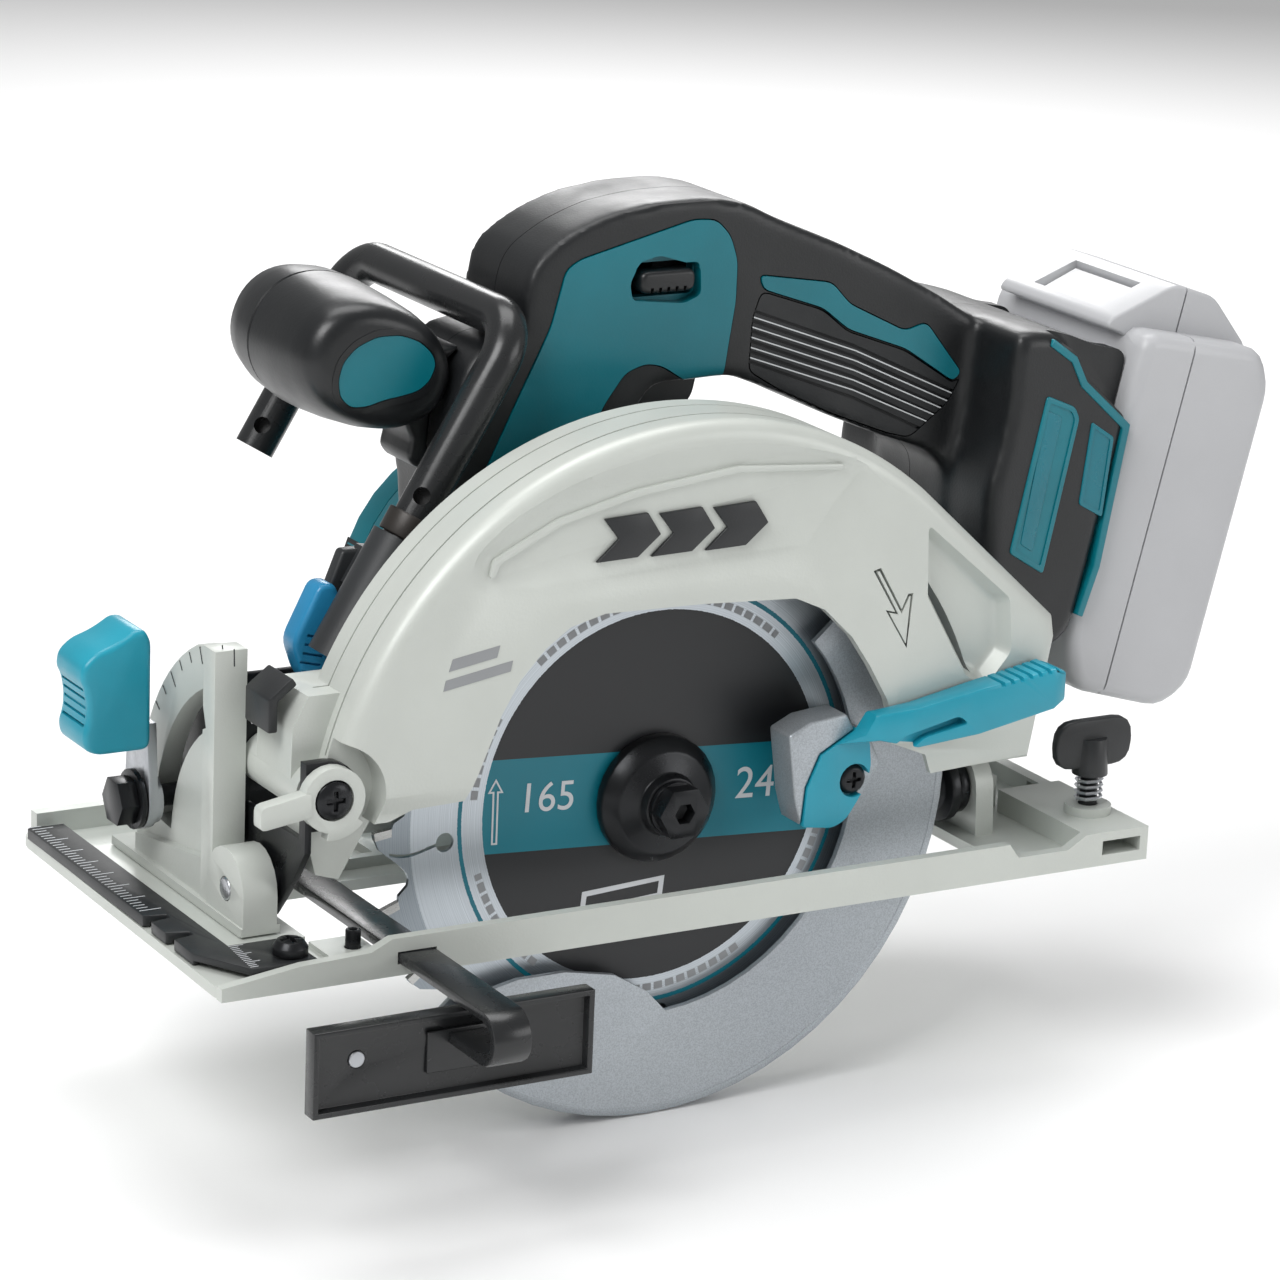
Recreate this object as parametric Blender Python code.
"""Cordless circular saw with a 165 mm blade, as an assembly of separate pieces.

Design frame, in millimetres: X runs to the rear (the battery), Y to the motor
side, Z up. The blade turns in the plane y = 0 about an axis over x = 0, and
z = 0 is the sole. place() moves everything by ORIGIN_Y, so that the origin of
the finished part lies on the sole beside the blade, and turns it into metres.
"""

from math import acos, asin, atan2, cos, degrees, hypot, pi, radians, sin, sqrt, tau

import bmesh
import bpy
from mathutils import Matrix, Vector

MM = 0.001
GAP = 0.3                       # clearance left between neighbouring pieces
ORIGIN_Y = 50.0                 # the part's origin, from the blade's plane

# Blade and arbor
BLADE_R = 82.5
BLADE_HALF = 0.6
BLADE_TEETH = 24
CUT_DEPTH = 56.5
ARBOR = (0.0, BLADE_R - CUT_DEPTH)          # x, z of the blade's axis
SPINDLE_R = 6.0
BOLT_R = 4.0
FLANGE_R = 17.5

# Gear pair and motor
GEAR_MODULE = 1.0
GEAR_TEETH = 44
PINION_TEETH = 12
GEAR_CENTRES = GEAR_MODULE * (GEAR_TEETH + PINION_TEETH) / 2
MOTOR = (3.0, ARBOR[1] + sqrt(GEAR_CENTRES ** 2 - 3.0 ** 2))
HOUSING = (3.0, 57.0)           # x, z of the motor housing's axis
HOUSING_R = 44.5
MOTOR_Y = (38.3, 96.0)
END_CAP_Y = (96.3, 110.0)

# Guards
UPPER_R = 106.5
UPPER_CAVITY_R = 91.0
UPPER_Y = (-22.3, 9.0)
RIM_Y = 3.0                     # the full radius ends here
LOWER_R = 87.5
LOWER_Y = (-7.0, 5.2)
LOWER_BAND_R = 59.0
LOWER_FROM = -139.0             # degrees, leading edge of the lower guard
LOWER_TO = 42.0
BOSS_R = 20.0                   # the lower guard turns on this boss

# Base
BASE_X = (-140.0, 138.5)
BASE_Y = (-33.3, 99.0)
FLOOR = 3.0
RAIL_TOP = 10.0
RAIL_X = (-93.0, 93.0)
RAIL_INNER = -30.3
OPEN_X = (-106.0, 95.0)
OPEN_Y = 29.0
BEVEL = (5.0, 15.0)             # y, z of the bevel axis
DEPTH_PIVOT = (-104.5, 44.5)    # x, z of the depth axis
GUIDE_R = 171.0                 # radius of the depth guide about that axis
GUIDE_Y = (24.6, 27.6)
GUIDE_BOLT_Z = 14.0

# Fence and clamp
BAR_X = (-91.2, -80.8)
BAR_Z = (3.3, 6.0)
CLAMP = (130.0, -16.0)          # x, y of the wing screw

# Handle and battery
HANDLE_Y = 46.0
GRIP_HALF = 18.0
MOUNT_HALF = 40.0
SHELL = 2.6
LEAN = radians(13.5)            # the battery's face leans back by this
FACE = (151.0, 112.0)           # a point x, z on the battery's face

# Hook
HOOK_R = 5.5
HOOK_Y = 16.0
HOOK_REACH = 91.5
HOOK_FOOT = (-63.0, 107.0)
HOOK_DIRECTION = Vector((0.514, 0.0, 0.858)).normalized()

# Colours: linear RGB, roughness, metallic
TEAL = ((0.004, 0.19, 0.25), 0.42, 0.0)
BRIGHT_TEAL = ((0.03, 0.34, 0.46), 0.4, 0.0)
BLACK_RUBBER = ((0.03, 0.034, 0.038), 0.62, 0.0)
BLACK_PLASTIC = ((0.02, 0.022, 0.025), 0.5, 0.0)
BLACK_STEEL = ((0.018, 0.019, 0.021), 0.35, 0.6)
CAST_GREY = ((0.6, 0.63, 0.59), 0.42, 0.25)
GUARD_ALLOY = ((0.36, 0.4, 0.43), 0.45, 0.7)
STEEL = ((0.5, 0.52, 0.55), 0.3, 1.0)
COPPER = ((0.45, 0.2, 0.08), 0.35, 0.9)
PALE_GREY = ((0.62, 0.63, 0.64), 0.45, 0.0)
BOARD_GREEN = ((0.02, 0.12, 0.05), 0.5, 0.0)
LENS_BLUE = ((0.02, 0.28, 0.5), 0.25, 0.0)

AXES = {"X": (1, 2, 0), "Y": (0, 2, 1), "Z": (0, 1, 2)}


# ---------------------------------------------------------------- outlines

def arc(centre, radius, start, end, steps):
    """Points on an arc, angles in degrees from the first axis."""
    span = [radians(start + (end - start) * i / steps) for i in range(steps + 1)]
    return [(centre[0] + radius * cos(a), centre[1] + radius * sin(a)) for a in span]


def circle(centre, radius, steps):
    return arc(centre, radius, 0.0, 360.0, steps)[:-1]


def sector(centre, inner, outer, start, end, steps):
    """A band between two radii."""
    return arc(centre, outer, start, end, steps) + arc(centre, inner, end, start, steps)


def rectangle(low, high):
    return [low, (high[0], low[1]), high, (low[0], high[1])]


def rounded(points, radius, steps=3):
    """The outline with its corners turned into arcs, as far as its edges allow."""
    result = []
    count = len(points)
    for i, point in enumerate(points):
        here = Vector(point)
        back = Vector(points[i - 1]) - here
        ahead = Vector(points[(i + 1) % count]) - here
        reach = min(radius, back.length * 0.45, ahead.length * 0.45)
        first = here + back.normalized() * reach
        last = here + ahead.normalized() * reach
        for step in range(steps + 1):
            t = step / steps
            spot = first * (1 - t) ** 2 + here * 2 * t * (1 - t) + last * t ** 2
            result.append((spot.x, spot.y))
    return result


def turned(points, angle, centre=(0.0, 0.0)):
    """The outline turned by an angle in radians."""
    c, s = cos(angle), sin(angle)
    shifted = [(x - centre[0], y - centre[1]) for x, y in points]
    return [(centre[0] + c * x - s * y, centre[1] + s * x + c * y) for x, y in shifted]


# ---------------------------------------------------------------- solids

def solid(verts, faces):
    """A working object in design millimetres, faces pointing out."""
    mesh = bpy.data.meshes.new("work")
    mesh.from_pydata([tuple(v) for v in verts], [], faces)
    bm = bmesh.new()
    bm.from_mesh(mesh)
    bmesh.ops.recalc_face_normals(bm, faces=bm.faces)
    if bm.calc_volume(signed=True) < 0:
        bmesh.ops.reverse_faces(bm, faces=bm.faces)
    bm.to_mesh(mesh)
    bm.free()
    obj = bpy.data.objects.new("work", mesh)
    bpy.context.collection.objects.link(obj)
    return obj


def prism(outline, low, high, axis="Y"):
    """An outline in the other two axes, extruded from low to high along axis."""
    first, second, along = AXES[axis]
    verts = []
    for level in (low, high):
        for a, b in outline:
            spot = [0.0, 0.0, 0.0]
            spot[first], spot[second], spot[along] = a, b, level
            verts.append(spot)
    n = len(outline)
    sides = [(i, (i + 1) % n, n + (i + 1) % n, n + i) for i in range(n)]
    return solid(verts, sides + [tuple(range(n))[::-1], tuple(range(n, 2 * n))])


def box(x, y, z):
    return prism(rectangle((x[0], y[0]), (x[1], y[1])), z[0], z[1], "Z")


def disc(centre, radius, low, high, steps=20, axis="Y"):
    return prism(circle(centre, radius, steps), low, high, axis)


def turning(profile, centre, steps=24, axis="Y", closed=False):
    """A profile of (radius, along) points turned about an axis."""
    first, second, along = AXES[axis]
    verts, rings = [], []
    for radius, level in profile:
        ring = []
        for i in range(1 if radius == 0 else steps):
            angle = tau * i / steps
            spot = [0.0, 0.0, 0.0]
            spot[first] = centre[0] + radius * cos(angle)
            spot[second] = centre[1] + radius * sin(angle)
            spot[along] = level
            ring.append(len(verts))
            verts.append(spot)
        rings.append(ring)
    pairs = list(zip(rings, rings[1:])) + ([(rings[-1], rings[0])] if closed else [])
    faces = []
    for a, b in pairs:
        for i in range(steps):
            j = (i + 1) % steps
            loop = [a[i % len(a)], a[j % len(a)], b[j % len(b)], b[i % len(b)]]
            unique = list(dict.fromkeys(loop))
            if len(unique) > 2:
                faces.append(unique)
    return solid(verts, faces)


def ring(centre, inner, outer, low, high, steps=24, axis="Y"):
    profile = [(inner, low), (outer, low), (outer, high), (inner, high)]
    return turning(profile, centre, steps, axis, closed=True)


def loft(rings):
    """A closed skin through rings of equal length, with flat ends."""
    n = len(rings[0])
    verts = [v for each in rings for v in each]
    faces = []
    for k in range(len(rings) - 1):
        low, high = k * n, (k + 1) * n
        for i in range(n):
            j = (i + 1) % n
            faces += [(low + i, low + j, high + j), (low + i, high + j, high + i)]
    last = (len(rings) - 1) * n
    return solid(verts, faces + [tuple(range(n))[::-1], tuple(range(last, last + n))])


def rod(points, radius, sides=10):
    """A round bar along a path, with flat ends."""
    path = [Vector(p) for p in points]
    rings = []
    normal = None
    for i, spot in enumerate(path):
        ahead = path[min(i + 1, len(path) - 1)] - path[max(i - 1, 0)]
        ahead.normalize()
        if normal is None:
            guide = Vector((0, 0, 1)) if abs(ahead.z) < 0.9 else Vector((1, 0, 0))
            normal = guide.cross(ahead)
        normal = (normal - ahead * normal.dot(ahead)).normalized()
        side = ahead.cross(normal)
        angles = [tau * k / sides for k in range(sides)]
        rings.append([spot + normal * radius * cos(a) + side * radius * sin(a) for a in angles])
    return loft(rings)


def bake(obj):
    """Applies the object's modifiers."""
    graph = bpy.context.evaluated_depsgraph_get()
    mesh = bpy.data.meshes.new_from_object(obj.evaluated_get(graph))
    old = obj.data
    obj.modifiers.clear()
    obj.data = mesh
    bpy.data.meshes.remove(old)
    return obj


def combine(obj, tools, operation):
    for tool in tools:
        modifier = obj.modifiers.new("combine", "BOOLEAN")
        modifier.operation = operation
        modifier.object = tool
    bake(obj)
    for tool in tools:
        bpy.data.objects.remove(tool)
    return obj


def join(obj, *tools):
    return combine(obj, tools, "UNION")


def cut(obj, *tools):
    return combine(obj, tools, "DIFFERENCE")


def keep(obj, tool):
    return combine(obj, [tool], "INTERSECT")


def soften(obj, width, segments=2, angle=35.0):
    """Rounds the sharp edges."""
    modifier = obj.modifiers.new("soften", "BEVEL")
    modifier.width = width
    modifier.segments = segments
    modifier.angle_limit = radians(angle)
    modifier.use_clamp_overlap = True
    return bake(obj)


def tidy(obj):
    """Merges doubled points and drops slivers that booleans leave."""
    bm = bmesh.new()
    bm.from_mesh(obj.data)
    bmesh.ops.remove_doubles(bm, verts=bm.verts, dist=0.004)
    bmesh.ops.dissolve_degenerate(bm, edges=bm.edges, dist=0.002)
    bm.to_mesh(obj.data)
    bm.free()
    return obj


MATERIALS = {}


def material(look):
    """One Principled material for each look."""
    if look not in MATERIALS:
        colour, roughness, metallic = look
        made = bpy.data.materials.new("look")
        made.use_nodes = True
        shader = made.node_tree.nodes["Principled BSDF"]
        shader.inputs["Base Color"].default_value = (*colour, 1.0)
        shader.inputs["Roughness"].default_value = roughness
        shader.inputs["Metallic"].default_value = metallic
        MATERIALS[look] = made
    return MATERIALS[look]


def place(name, obj, look, origin=(0.0, 0.0, 0.0)):
    """Names a finished piece, gives it its origin and turns it into metres."""
    tidy(obj)
    obj.data.transform(Matrix.Translation(-Vector(origin)))
    obj.data.transform(Matrix.Scale(MM, 4))
    obj.name = name
    obj.data.name = name
    obj.location = Vector((origin[0], origin[1] - ORIGIN_Y, origin[2])) * MM
    obj.data.materials.clear()
    obj.data.materials.append(material(look))
    obj.data.shade_smooth()
    obj.data.set_sharp_from_angle(angle=radians(35))
    return obj


ARBOR_SPOT = (ARBOR[0], 0.0, ARBOR[1])
MOTOR_SPOT = (MOTOR[0], 0.0, MOTOR[1])
BEVEL_SPOT = (-118.0, BEVEL[0], BEVEL[1])
DEPTH_SPOT = (DEPTH_PIVOT[0], 0.0, DEPTH_PIVOT[1])


# ---------------------------------------------------------------- base

def make_base_plate():
    near, far = BASE_Y
    front, rear = BASE_X
    outline = [(front, near), (rear, near), (rear, 86.0), (124.0, far), (front + 2, far)]
    plate = prism(rounded(outline, 5.0), 0.0, FLOOR, "Z")
    opening = [(OPEN_X[0], -12.0), (-92.6, -12.0), (-92.6, RAIL_INNER), (OPEN_X[1], RAIL_INNER),
               (OPEN_X[1], OPEN_Y), (OPEN_X[0], OPEN_Y)]
    wall = [(front, 0.0), (rear, 0.0), (rear, 9.5), (118.0, 9.5), (112.0, 6.0), (96.0, 6.0),
            (RAIL_X[1], RAIL_TOP), (RAIL_X[0], RAIL_TOP), (-99.0, 7.2), (-118.0, 6.5), (front, 3.6)]
    near_wall = prism(wall, near, RAIL_INNER)
    far_wall = prism(rectangle((front + 5, 0.0), (124.0, 9.0)), far - 4, far)
    rear_wall = prism(rectangle((near, 0.0), (84.0, 8.0)), rear - 4, rear, "X")
    block = box((118.0, rear), (near, 10.0), (0.0, 9.5))
    boss = disc(CLAMP, 6.5, 0.0, 12.0, 20, "Z")
    ribs = [box((-92.0, 124.0), (y - 1.5, y + 1.5), (0.0, 6.0)) for y in (38.0, 66.0)]
    cross = [box((x - 1.5, x + 1.5), (38.0, far - 2), (0.0, 5.5)) for x in (-60.0, 0.0, 60.0, 112.0)]
    ear = prism([(-6.0, 0.0), (BEVEL[0] - 10, BEVEL[1]), *arc(BEVEL, 10.0, 180, 0, 10)[1:-1],
                 (BEVEL[0] + 10, BEVEL[1]), (22.0, 0.0)], 100.3, 106.0, "X")
    ear_web = box((100.3, 120.0), (14.0, 18.0), (0.0, 12.0))
    pocket_wall = box((-106.0, -92.6), (near + 1, -12.0), (0.0, 4.2))
    seat = box((-127.0, -106.0), (-10.0, 76.0), (0.0, 4.8))
    join(plate, near_wall, far_wall, rear_wall, block, boss, *ribs, *cross, ear, ear_web,
         pocket_wall, seat)
    cut(plate, prism(opening, -1.0, 4.0, "Z"),
        box((OPEN_X[0], OPEN_X[1]), (-12.0, OPEN_Y), (-1.0, 20.0)),
        box((BAR_X[0] - GAP, BAR_X[1] + GAP), (near - 5, 90.0), (BAR_Z[0] - GAP, BAR_Z[1] + GAP)),
        box((123.5, 136.0), (near - 5, 20.0), (3.0, 7.0)),
        disc(CLAMP, 2.8, -1.0, 20.0, 16, "Z"),
        disc((-97.5, -20.0), 2.3, -1.0, 20.0, 12, "Z"),
        disc((-117.0, -24.0), 2.3, -1.0, 20.0, 12, "Z"),
        disc(BEVEL, 3.8, 90.0, 110.0, 20, "X"))
    return place("base_plate", plate, CAST_GREY)


def make_scale_plate():
    outline = [(-139.0, -14.0), (-139.0, 92.0), (-128.5, 92.0), (-128.5, -12.0),
               (-112.5, -12.0), (-112.0, -30.0), (-130.0, -30.0)]
    plate = prism(outline, FLOOR + 1.4, FLOOR + 3.4, "Z")
    front_wall = [(-139.0, -14.0), (-139.0, 92.0), (-137.0, 92.0), (-137.0, -14.0)]
    join(plate, prism(front_wall, FLOOR + GAP, FLOOR + 2.0, "Z"))
    notches = [prism([(-141, y - 3), (-133, y - 1.2), (-133, y + 1.2), (-141, y + 3)], 0, 10, "Z")
               for y in (0.0, 14.0)]
    cut(plate, *notches, disc((-117.0, -24.0), 2.6, 0, 12, 16, "Z"))
    return place("scale_plate", plate, BLACK_PLASTIC)


def pan_screw(centre, shank_r, head_r, low, seat, top, axis="Z", steps=20):
    """A screw with a domed head and a cross recess; it points down the axis."""
    head = top - seat
    profile = [(0.0, low), (shank_r, low), (shank_r, seat), (head_r, seat),
               (head_r, seat + head * 0.45), (head_r * 0.75, top - head * 0.15), (0.0, top)]
    screw = turning(profile, centre, steps, axis)
    arm, half = head_r * 0.55, head_r * 0.13
    bars = [rectangle((-arm, -half), (arm, half)), rectangle((-half, -arm), (half, arm))]
    for bar in bars:
        moved = [(centre[0] + a, centre[1] + b) for a, b in bar]
        low_cut, high_cut = sorted((top - head * 0.6, top + head))
        cut(screw, prism(moved, low_cut, high_cut, axis))
    return screw


def make_scale_screw():
    screw = pan_screw((-117.0, -24.0), 2.0, 4.6, 0.5, FLOOR + 3.7, FLOOR + 8.0)
    return place("scale_plate_screw", screw, STEEL, (-117.0, -24.0, FLOOR))


def make_calibration_screw():
    screw = disc((-97.5, -20.0), 2.0, 0.8, 9.0, 14, "Z")
    cut(screw, disc((-97.5, -20.0), 1.1, 6.8, 10.0, 6, "Z"))
    return place("calibration_screw", screw, BLACK_STEEL, (-97.5, -20.0, 0.0))


def make_quadrant():
    """The casting that the bevel scale is on, with its arc slot."""
    y, z = BEVEL
    outline = [(y + 9.0, FLOOR + 2.1), (y + 63.0, FLOOR + 2.1), *arc(BEVEL, 63.0, 0, 64, 14),
               (y + 15.0, z + 59.5), (y + 9.0, z + 56.0)]
    plate = prism(rounded(outline[:2], 0.1, 1) + outline[2:], -118.0, -112.0, "X")
    post = box((-121.0, -112.0), (y + 9.0, y + 16.0), (FLOOR + 2.1, z + 60.0))
    foot = box((-122.0, -111.2), (y - 11.0, y + 70.0), (FLOOR + 2.1, FLOOR + 4.6))
    boss = prism([*arc(BEVEL, 11.0, 0, 180, 10), (y - 11.0, FLOOR + 2.1), (y + 11.0, FLOOR + 2.1)],
                 -121.5, -112.0, "X")
    web = prism([(y + 58.0, FLOOR + 3), (y + 58.0, z - 3), (y + 16, z + 3), (y + 16, FLOOR + 3)],
                -120.5, -117.0, "X")
    soften(plate, 0.8)
    join(plate, post, foot, boss, web)
    slot = sector(BEVEL, 41.0, 51.5, 4.0, 70.0, 12)
    cut(plate, prism(slot, -130.0, -100.0, "X"), disc(BEVEL, 3.3, -130.0, -100.0, 20, "X"),
        box((-122.5, -108.0), (-8.0, -5.0), (0.0, 5.4)))
    return place("bevel_quadrant", plate, CAST_GREY)


def make_front_pivot_pin():
    pin = disc(BEVEL, 3.0, -121.8, -105.0, 20, "X")
    return place("front_pivot_pin", soften(pin, 0.4), STEEL, BEVEL_SPOT)


def make_rear_pivot_bolt():
    profile = [(0.0, 90.0), (6.0, 90.0), (6.5, 92.5), (9.6, 93.0), (9.6, 96.0), (3.5, 96.7),
               (3.5, 110.0), (0.0, 110.0)]
    bolt = turning(profile, BEVEL, 24, "X")
    return place("rear_pivot_bolt", bolt, BLACK_STEEL, (96.0, BEVEL[0], BEVEL[1]))


def make_clamp_screw():
    x, y = CLAMP
    shank = disc(CLAMP, 2.5, 2.0, 22.0, 16, "Z")
    hub = turning([(0, 20.6), (5.0, 20.6), (4.2, 31.0), (0, 31.0)], CLAMP, 20, "Z")
    wing = prism(rounded(rectangle((x - 12.5, 22.6), (x + 12.5, 36.5)), 6.5, 4), y - 1.5, y + 1.5)
    join(hub, shank, soften(wing, 0.7))
    return place("fence_clamp_screw", hub, BLACK_PLASTIC, (x, y, 0.0))


def make_clamp_spring():
    turns, wire, low, high = 4, 0.5, 12.9, 19.6
    steps = turns * 8
    path = [(CLAMP[0] + 3.6 * cos(tau * i / 8), CLAMP[1] + 3.6 * sin(tau * i / 8),
             low + (high - low) * i / steps) for i in range(steps + 1)]
    return place("fence_clamp_spring", rod(path, wire, 5), STEEL, (*CLAMP, 12.0))


# ---------------------------------------------------------------- rip fence

PLATE_Y = -60.0


def make_fence_bar():
    x0, x1 = BAR_X
    z0, z1 = BAR_Z
    low = z0 - 11.5
    t = z1 - z0
    middle = (z1 + low) / 2
    outer = arc((-78.0, middle), (z1 - low) / 2, 90, 270, 8)
    inner = arc((-78.0, middle), (z1 - low) / 2 - t, 270, 90, 8)
    outline = [(62.0, z1), *outer, (PLATE_Y - 1.2, low), (PLATE_Y - 1.2, low + t), *inner, (62.0, z0)]
    return place("rip_fence_bar", prism(outline, x0, x1, "X"), BLACK_STEEL)


def make_fence_plate():
    y = PLATE_Y
    plate = box((-129.0, -51.0), (y, y + 2.0), (-22.0, 0.5))
    rims = [box((-129.0, -51.0), (y - 3.0, y), (-22.0, -20.5)),
            box((-129.0, -51.0), (y - 3.0, y), (-1.0, 0.5)),
            box((-129.0, -127.5), (y - 3.0, y), (-22.0, 0.5)),
            box((-52.5, -51.0), (y - 3.0, y), (-22.0, 0.5))]
    join(plate, *rims)
    cut(plate, disc((-116.0, -9.0), 2.3, y - 9, y + 9, 16))
    return place("rip_fence_plate", plate, BLACK_STEEL)


# ---------------------------------------------------------------- bevel frame

def make_front_bracket():
    """Hinged on the base's front pin; holds the depth pivot between two ears."""
    y, z = BEVEL
    x, zp = DEPTH_PIVOT
    outline = [(-18.0, 30.0), (-12.0, 21.5), (-5.0, 13.5), (0.0, 8.0), (4.0, 6.6), (60.4, 14.5),
               (60.4, 40.0), (42.0, 60.0), (22.0, 60.0), (14.0, 53.5), (-18.0, 53.5)]
    plate = prism(outline, -110.6, -108.8, "X")
    ears = []
    for low, high in ((-18.0, -14.6), (18.0, 21.4)):
        shape = [*arc(DEPTH_PIVOT, 9.0, 90, -90, 10), (-110.6, zp - 9), (-110.6, zp + 9)]
        ears.append(prism(shape, low, high))
    wing = box((-110.0, -76.0), (57.4, 60.4), (15.0, 54.0))
    join(plate, *ears, soften(wing, 2.0))
    cut(plate, box((-120.0, -100.0), (-14.6, 18.0), (33.0, 80.0)),
        disc(DEPTH_PIVOT, 4.3, -30, 30, 20), disc(BEVEL, 3.3, -130, -100, 20, "X"),
        disc((50.0, 26.0), 3.3, -130, -100, 20, "X"))
    return place("front_hinge_bracket", plate, BLACK_STEEL, BEVEL_SPOT)


def make_rear_bracket():
    """Turns on the rear pivot bolt and carries the foot of the depth guide."""
    y, z = BEVEL
    shape = [*arc(BEVEL, 8.0, 90, 270, 10), (31.2, z - 8), (31.2, z + 8)]
    cross = prism(shape, 97.0, 100.0, "X")
    beam = box((72.0, 100.0), (28.2, 31.2), (9.0, 20.0))
    join(cross, beam)
    cut(cross, disc(BEVEL, 3.8, 90, 110, 20, "X"))
    return place("rear_hinge_bracket", cross, BLACK_STEEL, (98.0, y, z))


def guide_angle(z):
    """The angle about the depth pivot of a height on the guide, in degrees."""
    return degrees(asin((z - DEPTH_PIVOT[1]) / GUIDE_R))


def make_depth_guide():
    low, high = guide_angle(8.6), guide_angle(109.4)
    end = arc(DEPTH_PIVOT, GUIDE_R, high, high, 1)[0]
    band = arc(DEPTH_PIVOT, GUIDE_R + 7, low, high, 20) + arc(end, 7.0, high, high + 180, 8)[1:-1]
    band += arc(DEPTH_PIVOT, GUIDE_R - 7, high, low, 20)
    guide = prism(band, *GUIDE_Y)
    join(guide, prism([(67.0, 8.6), (88.0, 9.0), (88.0, 20.0), (68.0, 20.0)], *GUIDE_Y))
    slot = sector(DEPTH_PIVOT, GUIDE_R - 3.2, GUIDE_R + 3.2, guide_angle(10.8), guide_angle(111.1), 20)
    cut(guide, prism(slot, 20.0, 40.0))
    return place("depth_guide", guide, STEEL, DEPTH_SPOT)


def make_depth_shaft():
    shaft = disc(DEPTH_PIVOT, 4.0, -18.0, 23.0, 20)
    return place("depth_pivot_shaft", soften(shaft, 0.4), STEEL, DEPTH_SPOT)


def make_bevel_clamp_bolt():
    centre = (50.0, 26.0)
    head = prism(circle(centre, 6.6, 6), -133.0, -128.0, "X")
    washer = disc(centre, 8.0, -127.8, -126.4, 24, "X")
    shank = disc(centre, 3.0, -130.0, -100.0, 20, "X")
    nut = prism(circle(centre, 6.4, 6), -108.3, -103.0, "X")
    join(head, washer, shank, nut)
    return place("bevel_clamp_bolt", head, BLACK_STEEL, (-118.0, *centre))


def make_bevel_arm():
    centre = (50.0, 26.0)
    outline = [*arc(centre, 8.0, 180, 360, 10), (56.0, 48.0), (44.0, 48.0)]
    arm = prism(outline, -126.0, -123.4, "X")
    boss = disc(centre, 7.0, -124.0, -121.4, 20, "X")
    join(arm, boss)
    cut(arm, disc(centre, 3.3, -140, -100, 20, "X"))
    return place("bevel_lever_arm", arm, STEEL, (-118.0, *centre))


def make_bevel_grip():
    outline = [(-126.3, 42.0), (-126.3, 72.5), (-131.0, 74.5), (-143.0, 69.0), (-146.0, 62.0),
               (-145.0, 48.0), (-141.0, 42.0)]
    grip = prism(rounded(outline, 2.5), 40.5, 58.5)
    return place("bevel_lever_grip", soften(grip, 1.5), BRIGHT_TEAL, (-118.0, 50.0, 26.0))


def make_stop_lever():
    x, z = DEPTH_PIVOT
    hub = ring(DEPTH_PIVOT, 5.4, 8.6, -22.0, -18.3, 24)
    shape = [(x - 20.5, z - 5.5), (x - 20.5, z + 0.5), (x - 6.5, z + 3.0), (x - 6.5, z - 3.5)]
    tab = prism(rounded(shape, 1.5), -22.5, -18.3)
    tail = prism(sector(DEPTH_PIVOT, 7.0, 10.5, -100, -40, 6), -22.0, -18.3)
    join(hub, tab, tail)
    return place("bevel_stop_lever", hub, GUARD_ALLOY, DEPTH_SPOT)


def make_stop_screw():
    profile = [(0, -23.0), (3.6, -22.8), (5.0, -22.0), (5.0, -18.3), (0, -18.3)]
    screw = turning(profile, DEPTH_PIVOT, 20)
    for bar in (rectangle((-2.6, -0.6), (2.6, 0.6)), rectangle((-0.6, -2.6), (0.6, 2.6))):
        moved = [(DEPTH_PIVOT[0] + a, DEPTH_PIVOT[1] + b) for a, b in bar]
        cut(screw, prism(moved, -26.0, -21.6))
    return place("depth_pivot_screw", screw, BLACK_STEEL, DEPTH_SPOT)


# ---------------------------------------------------------------- guards

def guard_outline(inset):
    """The upper guard's outer shape, from its front foot over the top to the rear."""
    r = UPPER_R - inset
    crown = arc(ARBOR, r, 168, 50, 30)
    i = inset
    rear = [(111.5 - i, 69.0 - i * 0.6), (112.5 - i, 63.0), (106.5 - i, 29.0 + i)]
    foot = [(-99.0 + i * 0.8, 20.5 + i), (-105.5 + i * 0.5, 22.5 + i), (-107.8 + i, 31.0)]
    return foot, crown, rear


def guard_window():
    """The lower edge of the near wall, rear to front, open round the blade."""
    return [(74.0, 29.0), (72.0, 34.5), (61.0, 39.0), (60.0, 46.0), (58.0, 52.0), (52.0, 62.0),
            (46.0, 70.5), (37.0, 79.0), (28.0, 83.0), (0.0, 84.5), (-29.0, 85.0), (-39.0, 82.5),
            (-46.0, 77.5), (-53.0, 70.0), (-58.0, 61.5), (-64.0, 47.0), (-67.5, 39.5), (-82.0, 39.0),
            (-90.0, 36.0)]


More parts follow.
